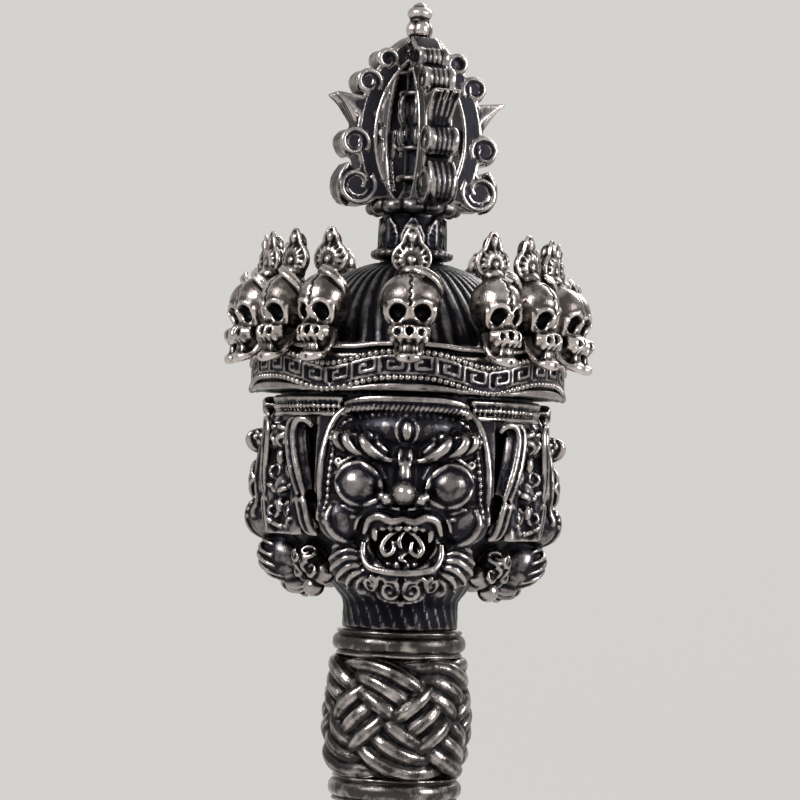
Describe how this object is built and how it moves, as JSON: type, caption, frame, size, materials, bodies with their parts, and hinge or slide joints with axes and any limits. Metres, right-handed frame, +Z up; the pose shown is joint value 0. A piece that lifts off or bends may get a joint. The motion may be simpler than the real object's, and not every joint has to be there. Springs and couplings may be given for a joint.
{
  "type": "phurba",
  "caption": "Three-edged ritual dagger with a three-faced wrathful head, a crown of skulls, knotted grip and a lift-off thunderbolt top over a small chamber.",
  "frame": {"origin": "the tip of the blade, on the dagger's axis", "axes": "+Z up along the dagger to the finial, -Y towards the front face, +X to that face's left"},
  "size_m": [0.041, 0.0414, 0.2041],
  "materials": {
    "blackened_white_copper": "cast, blackened in the hollows, satin",
    "worn_white_copper": "cast, blackened and rubbed back on high points",
    "polished_white_copper": "cast, rubbed bright on high points, dark in the lines",
    "steel": "turned"
  },
  "bodies": {
    "phurba": {"blade": "worn_white_copper", "makara_guard": "blackened_white_copper", "lower_knot_tube": "steel", "lower_knot": "polished_white_copper", "grip": "blackened_white_copper", "upper_knot_tube": "steel", "upper_knot": "polished_white_copper", "collar_1": "polished_white_copper", "collar_2": "polished_white_copper", "collar_3": "polished_white_copper", "collar_4": "polished_white_copper", "makara_head_1": "worn_white_copper", "makara_head_2": "worn_white_copper", "makara_head_3": "worn_white_copper", "serpent_1": "worn_white_copper", "serpent_2": "worn_white_copper", "serpent_3": "worn_white_copper", "tie_rod": "steel", "tie_nut": "steel", "tie_washer": "steel", "head_core": "blackened_white_copper", "crown_band": "blackened_white_copper", "bead_string_upper": "polished_white_copper", "bead_string_lower": "polished_white_copper", "hair_dome": "blackened_white_copper", "face_1": "worn_white_copper", "face_2": "worn_white_copper", "face_3": "worn_white_copper", "ear_panel_1": "worn_white_copper", "ear_panel_2": "worn_white_copper", "ear_panel_3": "worn_white_copper", "ear_pendant_1": "worn_white_copper", "ear_pendant_2": "worn_white_copper", "ear_pendant_3": "worn_white_copper", "skull_1": "polished_white_copper", "skull_2": "polished_white_copper", "skull_3": "polished_white_copper", "skull_4": "polished_white_copper", "skull_5": "polished_white_copper", "skull_6": "polished_white_copper", "skull_7": "polished_white_copper", "skull_8": "polished_white_copper", "skull_9": "polished_white_copper", "skull_10": "polished_white_copper", "skull_11": "polished_white_copper", "skull_12": "polished_white_copper", "skull_13": "polished_white_copper", "skull_14": "polished_white_copper", "skull_15": "polished_white_copper"},
    "vajra_top": {"vajra_stem": "blackened_white_copper", "vajra_spindle": "blackened_white_copper", "vajra_hub": "blackened_white_copper", "finial": "polished_white_copper", "vajra_prong_1": "worn_white_copper", "vajra_prong_2": "worn_white_copper", "vajra_prong_3": "worn_white_copper", "vajra_prong_4": "worn_white_copper"}
  },
  "joints": [
    {"name": "vajra_lift", "type": "slide", "parent": "phurba", "child": "vajra_top", "axis": [0, 0, 1], "range_m": [0, 0.03]}
  ]
}
